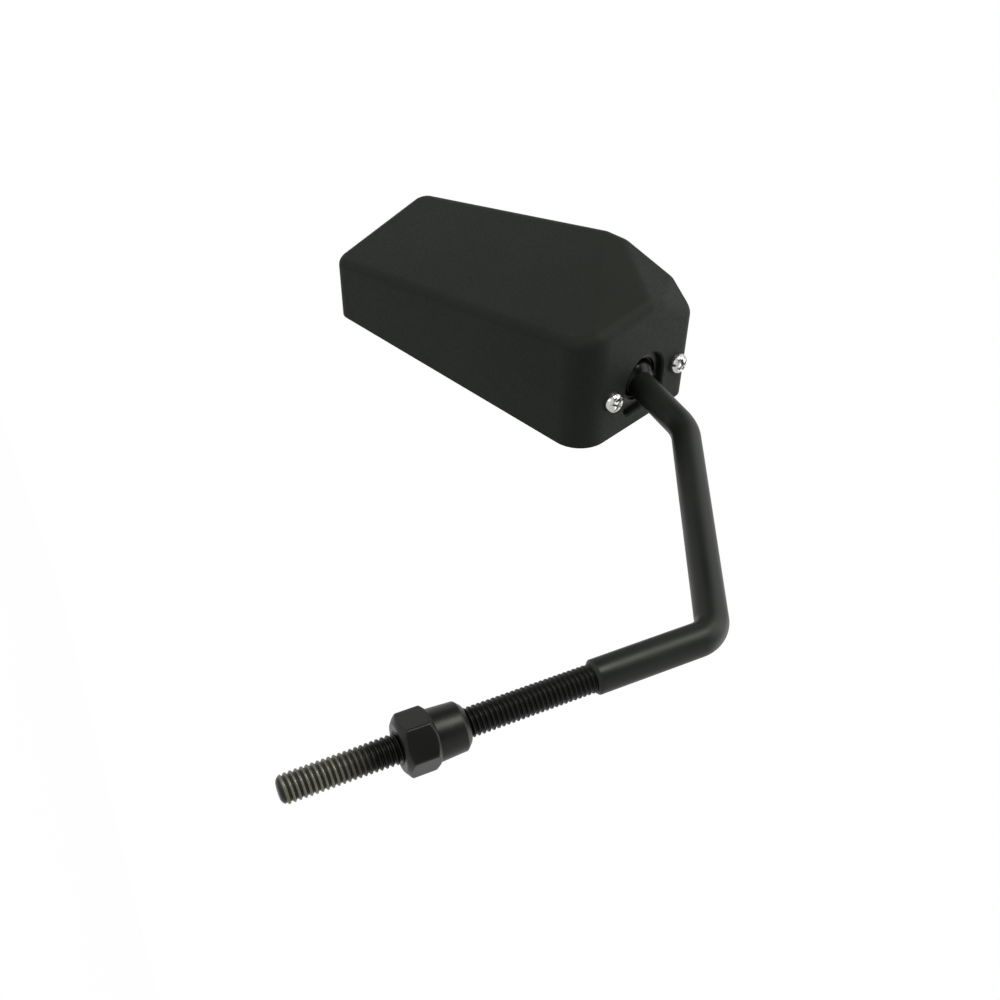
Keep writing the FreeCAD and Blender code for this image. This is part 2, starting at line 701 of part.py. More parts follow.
def facet(body, name, spot, along, across, depth):
    """Cuts a block off above a sloping plane.

    spot is where the plane stands on the housing's outside; along and across are its rises per length, towards
    the stem and across the head; depth is how far the plane is moved inwards.
    """
    steep = Vector(1, 0, along)
    sideways = Vector(0, 1, across)
    normal = steep.cross(sideways).normalize()
    place = Placement(spot - normal * depth, Rotation(Vector(0, 0, 1), normal))
    sketch = sketch_on(body, name + "_plane", "XY_Plane", place)
    far = 3 * val("head_len")
    corners = [Vector(-far, -far, 0), Vector(far, -far, 0), Vector(far, far, 0), Vector(-far, far, 0)]
    for i in range(4):
        sketch.addGeometry(Part.LineSegment(corners[i], corners[(i + 1) % 4]), False)
    for i in range(4):
        sketch.addConstraint(Sketcher.Constraint("Coincident", i, 2, (i + 1) % 4, 1))
    return pocket(body, name, sketch, upward=True)


def cut_back(body, tag, depth):
    """The back's four facets: long panel, stem-end facet, upper corner facet and the brow beyond it."""
    rise = (val("back_high") - val("low_wall_high")) / val("head_len")
    facets = [
        ("back", rise, val("back_up")),
        ("kite", -math.tan(math.radians(val("kite_fall"))), val("kite_up")),
        ("slope", -math.tan(math.radians(val("slope_fall"))), -val("slope_down")),
        ("brow", -math.tan(math.radians(val("brow_fall"))), -val("brow_down")),
    ]
    for name, along, up in facets:
        spot = Vector(val("rim_right"), val("rim_low"), val(name + "_high"))
        step = facet(body, "%s_%s_facet" % (tag, name), spot, along, up / val("stem_end_wide"), depth)
    return step


def make_housing():
    """Moulded shell: rim outline raised, cut to the back facets, rounded, opened for the stem, hollowed."""
    body = new_body("shell")
    raised_outline(body, "rim", "0", "1.2 * sizes.slope_high")
    cut = cut_back(body, "outer", 0)

    def is_wall(face):
        return abs(face.normalAt(0, 0).z) < 1e-6

    def walls_beside(feature, edge):
        return [is_wall(face) for face in feature.Shape.ancestorsOfType(edge, Part.Face)].count(True)

    def is_high(edge):
        return min(v.Point.z for v in edge.Vertexes) > 1

    inner = edges_where(cut, lambda e: is_high(e) and walls_beside(cut, e) == 0)
    ridges = soften(body, "ridge_rounding", "Fillet", cut, inner, "sizes.ridge_round")
    outer = edges_where(ridges, lambda e: is_high(e) and walls_beside(ridges, e) == 1)
    soften(body, "back_rounding", "Fillet", ridges, outer, "sizes.edge_round")
    open_end_wall(body)
    hollow = new_body("hollow")
    raised_outline(hollow, "inside", "-sizes.wall", "1.2 * sizes.slope_high")
    cut_back(hollow, "inner", val("wall"))
    seat = new_body("glass_seat")
    raised_outline(seat, "seat", "-sizes.wall", "sizes.wall + sizes.seat_deep")
    return boolean("Cut", "housing", boolean("Cut", "hollow_shell", body, hollow), seat)


def open_end_wall(body):
    """The arched opening for the stem and the two screw holes, cut outwards through the end wall."""
    legs = polygon(sketch_on(body, "slot_legs", "YZ_Plane"), [
        ("slot_left", "slot_sill"),
        ("slot_r", "slot_sill"),
        ("slot_r", "slot_arch"),
        ("slot_left", "slot_arch"),
    ])
    lower = pocket(body, "slot_lower", legs, upward=True)

    def sill_corner(edge):
        if not runs_along(edge, Vector(1, 0, 0)):
            return False
        spot = edge.Vertexes[0].Point
        return abs(abs(spot.y) - val("slot_r")) < 0.01 and abs(spot.z - val("slot_sill")) < 0.01

    soften(body, "slot_corners", "Fillet", lower, edges_where(lower, sill_corner), "sizes.slot_corner")
    arch = circle(sketch_on(body, "slot_arch_circle", "YZ_Plane"), "slot_r", 0, "slot_arch")
    arched = pocket(body, "slot_upper", arch, upward=True)

    def outer_edge(edge):
        box = edge.BoundBox
        on_face = abs(box.XMin - val("end_x")) < 1e-3 and abs(box.XMax - val("end_x")) < 1e-3
        inside = max(abs(box.YMin), abs(box.YMax)) < val("slot_r") + 0.01
        level = box.ZMin > val("slot_sill") - 0.01 and box.ZMax < val("slot_top") + 0.01
        return on_face and inside and level

    soften(body, "slot_bevel", "Chamfer", arched, edges_where(arched, outer_edge), "sizes.slot_edge")
    holes = sketch_on(body, "screw_hole_circles", "YZ_Plane")
    circle(holes, "hole_r", "screw_half", "ball_depth")
    circle(holes, "hole_r", "screw_half_back", "ball_depth")
    pocket(body, "screw_holes", holes, upward=True)


def make_glass():
    """Convex mirror glass, and the backing sheet that fills the space from it to its seat."""
    block = new_body("glass_block")
    raised_outline(block, "glass", "0", "sizes.seat_deep")
    poles_aside = Rotation(Vector(0, 1, 0), -90)
    domes = []
    for name, radius in [("dome_front", "glass_radius"), ("dome_back", "glass_back_radius")]:
        dome = primitive("Sphere", name, {"Radius": "sizes." + radius}, Placement(Vector(), poles_aside))
        bind(dome, "Placement.Base.x", "sizes.glass_mid_x")
        bind(dome, "Placement.Base.y", "sizes.glass_mid_y")
        bind(dome, "Placement.Base.z", "sizes.glass_apex + sizes.glass_radius")
        domes.append(dome)
    domed = boolean("Common", "glass_domed", block, domes[0])
    glass = boolean("Cut", "mirror_glass", domed, domes[1])
    backing = boolean("Common", "glass_backing", block, domes[1])
    return glass, backing


def write_parts(pieces):
    """Checks every object, then writes one file for each piece under its label."""
    DOC.recompute()
    for thing in DOC.Objects:
        if "Invalid" in thing.State or "Error" in thing.State:
            raise RuntimeError(thing.Name + " did not build")
    os.makedirs("parts", exist_ok=True)
    for piece in pieces:
        if piece.Shape.isNull() or not piece.Shape.isValid():
            raise RuntimeError(piece.Label + " has no sound shape")
        piece.Shape.exportStep("parts/%s.step" % piece.Label)


def main():
    in_clamp = clamp_frame()
    in_head = head_frame()
    glass, backing = make_glass()
    placed = [
        ("stem", make_stem(), Placement()),
        ("lock_nut", make_lock_nut(), Placement(Vector(), Rotation(Vector(0, 0, 1), val("nut_turn")))),
        ("swivel_ball", make_swivel_ball(), rod_end_frame()),
        ("end_washer", make_end_washer(), rod_end_frame(val("rod_end"))),
        ("end_screw", make_end_screw(), rod_end_frame(val("rod_end") + val("washer_thick"))),
        ("socket_cups", make_socket_cups(), in_clamp),
        ("clamp_plate_front", make_clamp_plate("clamp_plate_front", "sizes.plate_near"), in_clamp),
        ("clamp_plate_rear", make_clamp_plate("clamp_plate_rear", "-sizes.plate_far"), in_clamp),
        ("clamp_screws", make_clamp_screws(), in_clamp),
        ("clamp_nuts", make_clamp_nuts(), in_clamp),
        ("housing", make_housing(), in_head),
        ("mirror_glass", glass, in_head),
        ("glass_backing", backing, in_head),
    ]
    pieces = []
    for label, piece, placement in placed:
        piece.Label = label
        piece.Placement = placement
        pieces.append(piece)
    write_parts(pieces)


main()
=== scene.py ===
import math

import bpy
from mathutils import Matrix, Vector


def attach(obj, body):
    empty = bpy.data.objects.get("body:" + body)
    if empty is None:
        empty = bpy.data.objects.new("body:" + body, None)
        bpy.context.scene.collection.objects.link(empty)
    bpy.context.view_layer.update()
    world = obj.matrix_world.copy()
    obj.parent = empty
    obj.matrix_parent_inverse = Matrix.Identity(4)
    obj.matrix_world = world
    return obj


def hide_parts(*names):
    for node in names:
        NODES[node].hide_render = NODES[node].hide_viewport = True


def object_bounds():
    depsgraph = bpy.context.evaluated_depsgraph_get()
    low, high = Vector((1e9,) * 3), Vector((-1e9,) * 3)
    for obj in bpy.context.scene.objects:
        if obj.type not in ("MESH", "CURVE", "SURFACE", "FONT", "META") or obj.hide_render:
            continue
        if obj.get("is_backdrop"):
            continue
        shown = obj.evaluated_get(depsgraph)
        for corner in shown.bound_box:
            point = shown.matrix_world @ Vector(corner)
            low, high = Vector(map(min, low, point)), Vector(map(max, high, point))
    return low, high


# Looks of the motorcycle mirror. Sizes of its pieces are in millimetres, which MM turns into
# the scene's metres, and angles are in degrees. Bump depths, floor and lamps are in metres.
# Frame: Z up along the thread, X towards the head, the glass facing -Y.
MM = 0.001

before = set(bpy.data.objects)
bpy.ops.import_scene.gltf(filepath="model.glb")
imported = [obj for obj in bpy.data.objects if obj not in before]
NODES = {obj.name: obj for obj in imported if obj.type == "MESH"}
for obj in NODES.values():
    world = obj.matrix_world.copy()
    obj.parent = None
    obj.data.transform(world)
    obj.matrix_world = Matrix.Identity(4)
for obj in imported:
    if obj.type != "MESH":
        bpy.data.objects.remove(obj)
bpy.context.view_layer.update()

# Rod, as the solid has it.
ROD_R = 5.0
SHOULDER_Z = 56.0
SHOULDER_BEVEL = 0.85
LOW_CORNER_Z = 95.2
LOW_TURN = 63.2
HIGH_TURN = 30.1
LOW_BEND_R = 9.0
HIGH_BEND_R = 18.0
MID_RUN = 90.0
END_RUN = 34.0
ROD_END = 6.34
SPIGOT_R = 3.0
ROD_SIDES = 64

# Softened edges of the rod's shoulder bevel, at its foot and at the rod's surface.
BEVEL_FOOT_IN = 0.06
BEVEL_FOOT_RISE = 0.05
BEVEL_TOP_SOFT = 0.1
BEVEL_TOP_IN = 0.03
BEVEL_TOP_RISE = 0.12

# Thread. Its crests are lower where the coat is worn off, below the height 0.
COATED_R = 4.06
BARE_R = 3.9
CREST_FADE = 12.0
THREAD_DEEP = 0.62
PITCH = 1.411
ROOT_SHARPNESS = 2.4
TIP_Z = -31.5
TIP_ROUND = 2.3
THREAD_SIDES = 56
ROWS_PER_PITCH = 14

# Wear of the thread's coat: heights where it starts and is full, with a ragged border.
# Roots keep most of the coat, which also paints shade into the roots, and a band below each crest
# is fully bare.
WEAR_START_Z = 1.0
WEAR_FULL_Z = -12.0
WEAR_RAGGED = 12.0
ROOT_WEAR_AND_SHADE = 0.1
CREST_BAND = 0.2

# Lock nut: a hexagon from the seat up, then a tapered collar.
NUT_FLATS = 15.0
NUT_SIDE_COUNT = 6
NUT_FIRST_FLAT = 90.0
NUT_TURN = -19.0
NUT_HEX_LEN = 9.4
NUT_LEN = 18.5
NUT_SEAT_R = 6.5
NUT_SEAT_IN = 0.3
NUT_BORE_R = 4.12
NUT_BORE_JOIN_Z = 9.0
SEAT_SINK = 0.6
TOP_SINK = 0.5
SEAT_CHAMFER = 35.0
COLLAR_CHAMFER = 42.0
NUT_EDGE_BLUR = 0.12
LEAST_FACING = 0.05
COLLAR_BIG_R = 7.1
COLLAR_SMALL_R = 6.7
COLLAR_EDGE = 1.6
COLLAR_FOOT_RISE = 0.25
NUT_AROUND = 180
NUT_HEX_ROWS = 34

# Softened edges of the collar's chamfer, at the taper and at the top.
TAPER_END_DROP = 0.3
TAPER_END_OUT = 0.015
CHAMFER_START_IN = 0.05
CHAMFER_SOFT = 0.2
TOP_EDGE_IN = 0.1

# Clamp screws: pan heads with a tapered cross recess, on both sides of the opening.
SCREW_HALF_GAP = 18.0
SCREW_SEAT = 6.5
SCREW_HEAD_R = 3.9
SCREW_HEAD_HIGH = 3.2
SCREW_DOME_POWER = 4.5
SCREW_RIM_HIGH = 0.25
SCREW_LEAST_HIGH = 0.3
SCREW_R = 2.0
SCREW_LEN = 14.9
CROSS_HALF_WIDE = 0.7
CROSS_REACH = 2.9
CROSS_DEEP = 2.1
CROSS_TAPER = 0.4
CROSS_SIDE_SOFT = 0.15
CROSS_END_SOFT = 0.4
SCREW_AROUND = 96
SCREW_RINGS = 36

# Side of the opening and turn of the cross, in radians, of each screw.
SCREW_PLACES = ((1, 0.35), (-1, 1.0))

# Radius of a ring that closes an end.
CLOSED_R = 0.01

# Head's lean and droop.
HEAD_DROOP = 19.9
HEAD_LEAN = 4.1

# Photograph's camera: place in millimetres, directions, and lens and sensor in millimetres.
CAMERA_SPOT = (-150.02, 240.25, -53.38)
CAMERA_AHEAD = (0.6409, -0.6915, 0.3332)
CAMERA_RIGHT = (-0.4219, 0.0454, 0.9055)
CAMERA_LENS = 39.71
CAMERA_SENSOR = 36.0
CAMERA_CLIP = 0.01

# Floor: grey to the light, and a glow with a faint shadow to the camera.
FLOOR_Z = -0.45
FLOOR_HALF = 6.0
FLOOR_GREY = 0.8
FLOOR_FAINT = 0.3
FLOOR_GLOW = 0.9

# Light: level all round, and level of the room behind the camera in reflections,
# with the Y of the directions between which it dims.
WHITE = (1, 1, 1, 1)
AMBIENT = 0.3
ROOM = 0.12
ROOM_FROM_Y = 0.2
ROOM_TO_Y = 0.6

# Ranges that most values of a noise lie in, narrow and wide.
NOISE_CORE = (0.35, 0.65)
NOISE_WIDE = (0.3, 0.7)

# Faint greenish tint of the highlights on black plastic and on black paint.
PLASTIC_TINT = (0.96, 1.0, 0.92, 1)
PAINT_TINT = (0.97, 1.0, 0.92, 1)


def head_turn():
    """Rotation of the head: x towards the stem, y across, z from the glass to the back."""
    lean = Matrix.Rotation(math.radians(-HEAD_LEAN), 3, "Z")
    droop = Matrix.Rotation(math.radians(HEAD_DROOP), 3, "Y")
    level = Matrix(((-1, 0, 0), (0, 0, 1), (0, 1, 0)))
    return lean @ droop @ level


def ball_centre():
    """Centre of the swivel ball."""
    last = math.radians(LOW_TURN + HIGH_TURN)
    low = math.radians(LOW_TURN)
    x = MID_RUN * math.sin(low) + END_RUN * math.sin(last)
    z = LOW_CORNER_Z + MID_RUN * math.cos(low) + END_RUN * math.cos(last)
    return Vector((x, 0, z))


def mesh_piece(name, points, faces, material, sharp_angle=35):
    """A mesh object from points in millimetres, smooth except over sharp edges."""
    mesh = bpy.data.meshes.new(name)
    mesh.from_pydata([Vector(p) * MM for p in points], [], faces)
    mesh.validate()
    mesh.shade_smooth()
    mesh.set_sharp_from_angle(angle=math.radians(sharp_angle))
    piece = bpy.data.objects.new(name, mesh)
    bpy.context.scene.collection.objects.link(piece)
    mesh.materials.append(material)
    return piece


def ring_angles(around):
    """Angles of evenly spaced points around a circle."""
    return [2 * math.pi * j / around for j in range(around)]


def ring_faces(rings, around):
    """Quads between neighbouring closed rings of points."""
    faces = []
    for i in range(rings - 1):
        low = i * around
        high = low + around
        for j in range(around):
            k = (j + 1) % around
            faces.append((low + j, low + k, high + k, high + j))
    return faces


def polar(radius, angle, z):
    """A point at a distance from the Z axis."""
    return Vector((radius * math.cos(angle), radius * math.sin(angle), z))


def node(tree, kind, **settings):
    """A shader node with its sockets and properties set by name."""
    made = tree.nodes.new(kind)
    for key, value in settings.items():
        if key in made.inputs:
            made.inputs[key].default_value = value
        else:
            setattr(made, key, value)
    return made


def noise(tree, coords, scale, detail=3.0, roughness=0.5):
    """Noise texture in object space; scale is in features per metre."""
    made = node(tree, "ShaderNodeTexNoise", Scale=scale, Detail=detail, Roughness=roughness)
    tree.links.new(coords, made.inputs["Vector"])
    return made.outputs["Fac"]


def spread(tree, value, low, high, out_low, out_high):
    """Maps a value from one range to another, held at the ends."""
    made = tree.nodes.new("ShaderNodeMapRange")
    made.inputs["From Min"].default_value = low
    made.inputs["From Max"].default_value = high
    made.inputs["To Min"].default_value = out_low
    made.inputs["To Max"].default_value = out_high
    tree.links.new(value, made.inputs["Value"])
    return made.outputs["Result"]


def blend(tree, share, first, second):
    """Mixes two colours, each a tuple or a socket."""
    made = node(tree, "ShaderNodeMix", data_type="RGBA")
    tree.links.new(share, made.inputs["Factor"])
    for slot, colour in (("A", first), ("B", second)):
        socket = next(s for s in made.inputs if s.name == slot and s.type == "RGBA")
        if isinstance(colour, tuple):
            socket.default_value = (*colour, 1)
        else:
            tree.links.new(colour, socket)
    return next(s for s in made.outputs if s.type == "RGBA")


def new_material(name):
    """A material with its shader, node tree and object coordinates."""
    made = bpy.data.materials.new(name)
    made.use_nodes = True
    tree = made.node_tree
    shader = tree.nodes["Principled BSDF"]
    coords = tree.nodes.new("ShaderNodeTexCoord").outputs["Object"]
    return made, tree, shader, coords


def bump(tree, shader, height, depth):
    """Adds a bump of a depth in metres to the shader's normal."""
    made = node(tree, "ShaderNodeBump", Distance=depth, Strength=1.0)
    tree.links.new(height, made.inputs["Height"])
    tree.links.new(made.outputs["Normal"], shader.inputs["Normal"])


def moulded_plastic(name, dark, light, roughness, grain, gloss=0.13):
    """Black moulded plastic: fine sparked grain of a depth, faint cloudiness, uneven gloss."""
    uneven = 0.06
    made, tree, shader, coords = new_material(name)
    cloud = noise(tree, coords, scale=22, detail=4, roughness=0.55)
    speck = noise(tree, coords, scale=900, detail=2, roughness=0.6)
    sparks = noise(tree, coords, scale=1600, detail=3, roughness=0.6)
    base = blend(tree, spread(tree, cloud, *NOISE_CORE, 0, 1), dark, light)
    tree.links.new(base, shader.inputs["Base Color"])
    rough = spread(tree, speck, *NOISE_WIDE, roughness - uneven, roughness + uneven)
    tree.links.new(rough, shader.inputs["Roughness"])
    shader.inputs["Specular IOR Level"].default_value = gloss
    shader.inputs["Specular Tint"].default_value = PLASTIC_TINT
    bump(tree, shader, sparks, depth=grain)
    return made


def black_coat(name, dark, light, roughness, gloss):
    """Satin black paint on steel, with a slight orange-peel surface."""
    uneven = 0.05
    made, tree, shader, coords = new_material(name)
    cloud = noise(tree, coords, scale=45)
    peel = noise(tree, coords, scale=700, detail=2)
    base = blend(tree, spread(tree, cloud, *NOISE_CORE, 0, 1), dark, light)
    tree.links.new(base, shader.inputs["Base Color"])
    rough = spread(tree, cloud, *NOISE_WIDE, roughness - uneven, roughness + uneven)
    tree.links.new(rough, shader.inputs["Roughness"])
    shader.inputs["Specular IOR Level"].default_value = gloss
    shader.inputs["Specular Tint"].default_value = PAINT_TINT
    bump(tree, shader, peel, depth=0.00002)
    return made


def crest_wear_and_root_shade(tree, apart):
    """From ROOT_WEAR_AND_SHADE at the thread's roots to 1 at its crests, by the distance from the
    axis; the roots stay dark partly as kept coat and partly as painted shade.
    """
    flat = node(tree, "ShaderNodeCombineXYZ")
    tree.links.new(apart.outputs["X"], flat.inputs["X"])
    tree.links.new(apart.outputs["Y"], flat.inputs["Y"])
    from_axis = node(tree, "ShaderNodeVectorMath", operation="LENGTH")
    tree.links.new(flat.outputs["Vector"], from_axis.inputs[0])
    root = (BARE_R - THREAD_DEEP) * MM
    crest = (BARE_R - CREST_BAND) * MM
    return spread(tree, from_axis.outputs["Value"], root, crest, ROOT_WEAR_AND_SHADE, 1)


def height_share(tree, coords, height):
    """From 0 where the coat is whole to 1 where it is worn off, with a ragged border."""
    patchy = noise(tree, coords, scale=160, detail=4, roughness=0.6)
    ragged = node(tree, "ShaderNodeMath", operation="MULTIPLY_ADD")
    ragged.inputs[1].default_value = WEAR_RAGGED * MM
    tree.links.new(patchy, ragged.inputs[0])
    tree.links.new(height, ragged.inputs[2])
    return spread(tree, ragged.outputs["Value"], WEAR_START_Z * MM, WEAR_FULL_Z * MM, 0, 1)


def worn_thread(name):
    """Black coat on the thread, worn to bare steel towards the tip and on the crests, with roots
    kept dark partly as coat and partly as painted shade.
    """
    coat = (0.003, 0.0033, 0.0025)
    dull_steel = (0.08, 0.078, 0.06)
    clean_steel = (0.18, 0.175, 0.138)
    bare_metallic = 0.85
    coat_roughness = 0.34
    bare_roughness = 0.36
    made, tree, shader, coords = new_material(name)
    apart = node(tree, "ShaderNodeSeparateXYZ")
    tree.links.new(coords, apart.inputs["Vector"])
    # The roots keep the coat and stay dark: partly wear, partly painted shade in the thread's
    # hollows.
    both = node(tree, "ShaderNodeMath", operation="MULTIPLY")
    tree.links.new(height_share(tree, coords, apart.outputs["Z"]), both.inputs[0])
    tree.links.new(crest_wear_and_root_shade(tree, apart), both.inputs[1])
    bare_and_root_shade = both.outputs["Value"]
    steel = blend(tree, noise(tree, coords, scale=300), dull_steel, clean_steel)
    tree.links.new(blend(tree, bare_and_root_shade, coat, steel), shader.inputs["Base Color"])
    tree.links.new(spread(tree, bare_and_root_shade, 0, 1, 0, bare_metallic), shader.inputs["Metallic"])
    rough = spread(tree, bare_and_root_shade, 0, 1, coat_roughness, bare_roughness)
    tree.links.new(rough, shader.inputs["Roughness"])
    shader.inputs["Specular IOR Level"].default_value = 0.14
    bump(tree, shader, noise(tree, coords, scale=1500, detail=2), depth=0.00002)
    return made


def bright_metal(name, colour, roughness, scale=400):
    """Plated or turned metal with fine uneven polish; scale is that of its unevenness."""
    darkening = 0.8
    smoothest = 0.8
    roughest = 1.25
    made, tree, shader, coords = new_material(name)
    tone = noise(tree, coords, scale)
    scratches = noise(tree, coords, scale * 4, detail=2)
    base = blend(tree, tone, tuple(c * darkening for c in colour), colour)
    tree.links.new(base, shader.inputs["Base Color"])
    shader.inputs["Metallic"].default_value = 1.0
    rough = spread(tree, tone, *NOISE_WIDE, roughness * smoothest, roughness * roughest)
    tree.links.new(rough, shader.inputs["Roughness"])
    bump(tree, shader, scratches, depth=0.00001)
    return made


def mirror_silver(name):
    """Silvered glass, a little grey, with a faint unevenness in its reflection."""
    dark = (0.58, 0.61, 0.63)
    light = (0.64, 0.67, 0.685)
    smoothest = 0.015
    roughest = 0.035
    made, tree, shader, coords = new_material(name)
    tone = noise(tree, coords, scale=30, detail=2)
    tree.links.new(blend(tree, tone, dark, light), shader.inputs["Base Color"])
    shader.inputs["Metallic"].default_value = 1.0
    rough = spread(tree, tone, *NOISE_WIDE, smoothest, roughest)
    tree.links.new(rough, shader.inputs["Roughness"])
    return made


def stem_path():
    """Centre line of the rod from the shoulder to the ball: places and directions."""
    low = math.radians(LOW_TURN)
    high = math.radians(HIGH_TURN)
    low_cut = LOW_BEND_R * math.tan(low / 2)
    high_cut = HIGH_BEND_R * math.tan(high / 2)
    # Length and number of steps of each straight run; radius, turn and steps of each bend.
    legs = [
        (LOW_CORNER_Z - SHOULDER_Z - low_cut, 24),
        (MID_RUN - low_cut - high_cut, 40),
        (END_RUN - high_cut - ROD_END, 16),
    ]
    bends = [(LOW_BEND_R, low, 40), (HIGH_BEND_R, high, 30)]
    spot = Vector((0, 0, SHOULDER_Z))
    heading = 0.0
    path = [(spot.copy(), heading)]
    for i, (length, steps) in enumerate(legs):
        ahead = Vector((math.sin(heading), 0, math.cos(heading)))
        for k in range(1, steps + 1):
            path.append((spot + ahead * (length * k / steps), heading))
        spot = spot + ahead * length
        if i < len(bends):
            radius, turn, arc_steps = bends[i]
            aside = Vector((math.cos(heading), 0, -math.sin(heading)))
            hub = spot + aside * radius
            for k in range(1, arc_steps + 1):
                angle = heading + turn * k / arc_steps
                out = Vector((math.cos(angle), 0, -math.sin(angle)))
                path.append((hub - out * radius, angle))
            heading = heading + turn
            spot = path[-1][0].copy()
    return path


def ring(spot, heading, radius, around):
    """Points of a circle across the rod's direction."""
    aside = Vector((math.cos(heading), 0, -math.sin(heading)))
    across = Vector((0, 1, 0))
    points = []
    for angle in ring_angles(around):
        points.append(spot + (aside * math.cos(angle) + across * math.sin(angle)) * radius)
    return points


def make_rod(material):
    """Bent rod with its bevelled shoulder and the spigot that carries the ball."""
    path = stem_path()
    start, heading = path[0]
    up = Vector((0, 0, 1))
    bevel_foot = ROD_R - SHOULDER_BEVEL
    # Rise above the shoulder's foot, and radius.
    shoulder = [
        (0, COATED_R - THREAD_DEEP),
        (0, bevel_foot - BEVEL_FOOT_IN),
        (BEVEL_FOOT_RISE, bevel_foot),
        (SHOULDER_BEVEL - BEVEL_TOP_SOFT, ROD_R - BEVEL_TOP_SOFT),
        (SHOULDER_BEVEL, ROD_R - BEVEL_TOP_IN),
        (SHOULDER_BEVEL + BEVEL_TOP_RISE, ROD_R),
    ]
    stations = [(start + up * rise, heading, radius) for rise, radius in shoulder]
    for spot, angle in path[1:]:
        stations.append((spot, angle, ROD_R))
    spot, angle = path[-1]
    ahead = Vector((math.sin(angle), 0, math.cos(angle)))
    spigot_end = spot + ahead * 2 * ROD_END
    stations.append((spot, angle, SPIGOT_R))
    stations.append((spigot_end, angle, SPIGOT_R))
    stations.append((spigot_end, angle, CLOSED_R))
    points = []
    for place, direction, radius in stations:
        points += ring(place, direction, radius, ROD_SIDES)
    faces = ring_faces(len(stations), ROD_SIDES)
    piece = mesh_piece("stem_rod", points, faces, material)
    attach(piece, "stem")
    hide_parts("stem")


def thread_radius(phase, crest):
    """Radius of the thread at a share of its pitch: rounded crest, narrower rounded root."""
    return crest - THREAD_DEEP * math.sin(math.pi * abs(phase - 0.5)) ** ROOT_SHARPNESS


def tip_radius(z):
    """Largest radius that the rounded tip leaves at a height."""
    into_tip = TIP_ROUND - (z - TIP_Z)
    if into_tip <= 0:
        return math.inf
    return BARE_R - TIP_ROUND + math.sqrt(max(TIP_ROUND ** 2 - into_tip ** 2, 0))


def make_thread(material):
    """Threaded foot, cut by a helix from the shoulder to the rounded tip."""
    length = SHOULDER_Z - TIP_Z
    rows = int(length / PITCH * ROWS_PER_PITCH)
    points = [Vector((0, 0, TIP_Z))] * THREAD_SIDES
    for i in range(rows + 1):
        z = TIP_Z + length * i / rows
        coated = min(max((z + CREST_FADE) / CREST_FADE, 0), 1)
        crest = BARE_R + (COATED_R - BARE_R) * coated
        for j, angle in enumerate(ring_angles(THREAD_SIDES)):
            phase = (z / PITCH - j / THREAD_SIDES) % 1.0
            radius = min(thread_radius(phase, crest), tip_radius(z))
            points.append(polar(radius, angle, z))
    faces = ring_faces(rows + 2, THREAD_SIDES)
    piece = mesh_piece("stem_thread", points, faces, material, sharp_angle=80)
    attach(piece, "stem")
    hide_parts("stem")


def soft_min(values, blur):
    """Smallest of some values, rounded where two are close."""
    least = min(values)
    total = sum(math.exp(-(v - least) / blur) for v in values)
    return least - blur * math.log(total)


def hex_radius(angle, z):
    """Outside of the lock nut's hexagon, chamfered at the seat and at the collar."""
    seat_slope = math.tan(math.radians(SEAT_CHAMFER))
    collar_slope = math.tan(math.radians(COLLAR_CHAMFER))
    limits = [NUT_SEAT_R + z / seat_slope, COLLAR_BIG_R + (NUT_HEX_LEN - z) / collar_slope]
    for k in range(NUT_SIDE_COUNT):
        facing = math.radians(NUT_FIRST_FLAT + 360 / NUT_SIDE_COUNT * k)
        limits.append(0.5 * NUT_FLATS / max(math.cos(angle - facing), LEAST_FACING))
    return soft_min(limits, NUT_EDGE_BLUR)


def nut_rows():
    """Rings of the lock nut from inside its bore, over the outside and back: radius and height."""
    foot = [
        (NUT_BORE_R, NUT_BORE_JOIN_Z),
        (NUT_BORE_R, SEAT_SINK),
        (NUT_BORE_R + SEAT_SINK, 0.0),
        (NUT_SEAT_R - NUT_SEAT_IN, 0.0),
    ]
    edge = NUT_LEN - COLLAR_EDGE
    top_r = COLLAR_SMALL_R - COLLAR_EDGE
    collar = [
        (COLLAR_BIG_R, NUT_HEX_LEN + COLLAR_FOOT_RISE),
        (COLLAR_SMALL_R + TAPER_END_OUT, edge - TAPER_END_DROP),
        (COLLAR_SMALL_R - CHAMFER_START_IN, edge),
        (COLLAR_SMALL_R - CHAMFER_SOFT, edge + CHAMFER_SOFT),
        (top_r + CHAMFER_SOFT, NUT_LEN - CHAMFER_SOFT),
        (top_r - TOP_EDGE_IN, NUT_LEN),
        (NUT_BORE_R + TOP_SINK, NUT_LEN),
        (NUT_BORE_R, NUT_LEN - TOP_SINK),
        (NUT_BORE_R, NUT_BORE_JOIN_Z),
    ]
    rows = [[spot] * NUT_AROUND for spot in foot]
    for i in range(NUT_HEX_ROWS + 1):
        z = NUT_HEX_LEN * i / NUT_HEX_ROWS
        rows.append([(hex_radius(angle, z), z) for angle in ring_angles(NUT_AROUND)])
    rows += [[spot] * NUT_AROUND for spot in collar]
    return rows


def make_lock_nut(material):
    """Lock nut with softened hexagon edges, a tapered collar and a countersunk bore."""
    turn = math.radians(NUT_TURN)
    rows = nut_rows()
    points = []
    for row in rows:
        for angle, (radius, z) in zip(ring_angles(NUT_AROUND), row):
            points.append(polar(radius, angle + turn, z))
    faces = ring_faces(len(rows), NUT_AROUND)
    piece = mesh_piece("lock_nut_dressed", points, faces, material, sharp_angle=40)
    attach(piece, "lock_nut")
    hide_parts("lock_nut")


